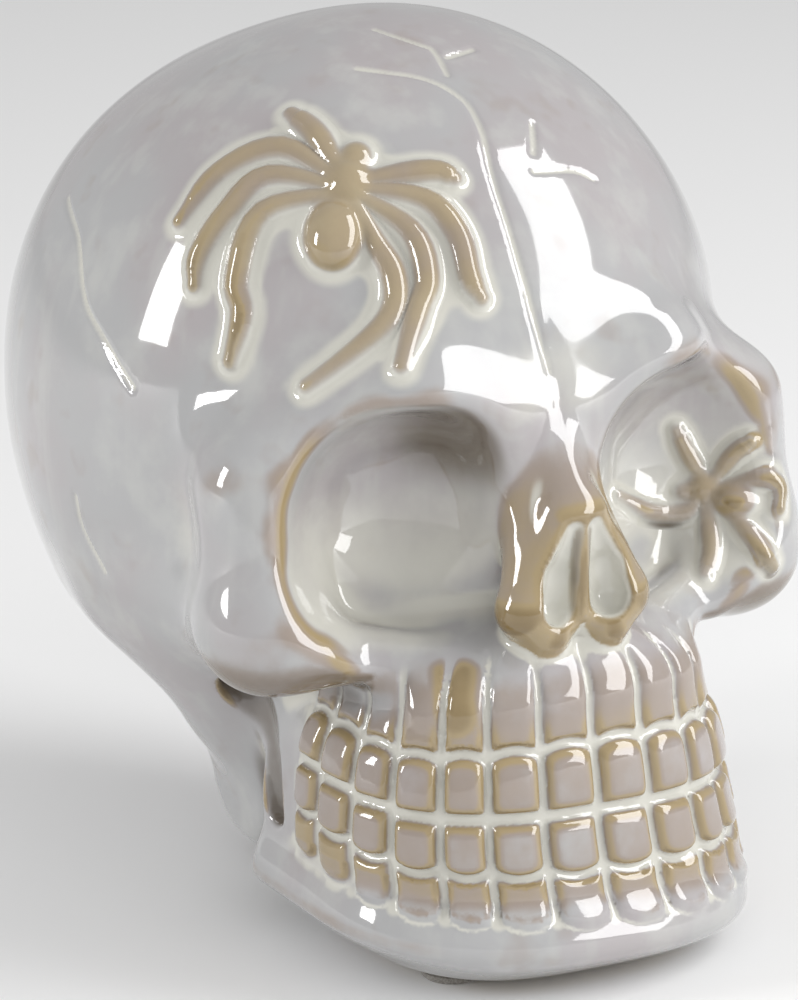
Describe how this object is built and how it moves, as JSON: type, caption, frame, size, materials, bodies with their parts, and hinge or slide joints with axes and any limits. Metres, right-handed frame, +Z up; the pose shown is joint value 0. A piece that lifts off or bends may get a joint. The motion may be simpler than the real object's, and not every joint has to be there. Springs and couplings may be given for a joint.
{
  "type": "ceramic skull ornament",
  "caption": "Hollow glazed stoneware skull ornament with toothed jaws, open eye sockets and raised spiders on the brow and in a socket, standing on felt feet.",
  "frame": {"origin": "middle of the bounding box, on the plane that the felt feet stand on", "axes": "+Z up, the face looks along -Y, +X to the skull's own left"},
  "size_m": [0.1192, 0.1476, 0.1509],
  "materials": {
    "glaze": "gloss grey-white reactive glaze, cream in the grooves and tan on the edges",
    "spider_glaze": "gloss tan glaze, thin over the raised relief",
    "felt": "matte pressed felt"
  },
  "bodies": {
    "root": {"skull_shell": "glaze", "forehead_spider": "spider_glaze", "socket_spider": "spider_glaze", "felt_pad_front_left": "felt", "felt_pad_front_right": "felt", "felt_pad_back_left": "felt", "felt_pad_back_right": "felt"}
  },
  "joints": []
}
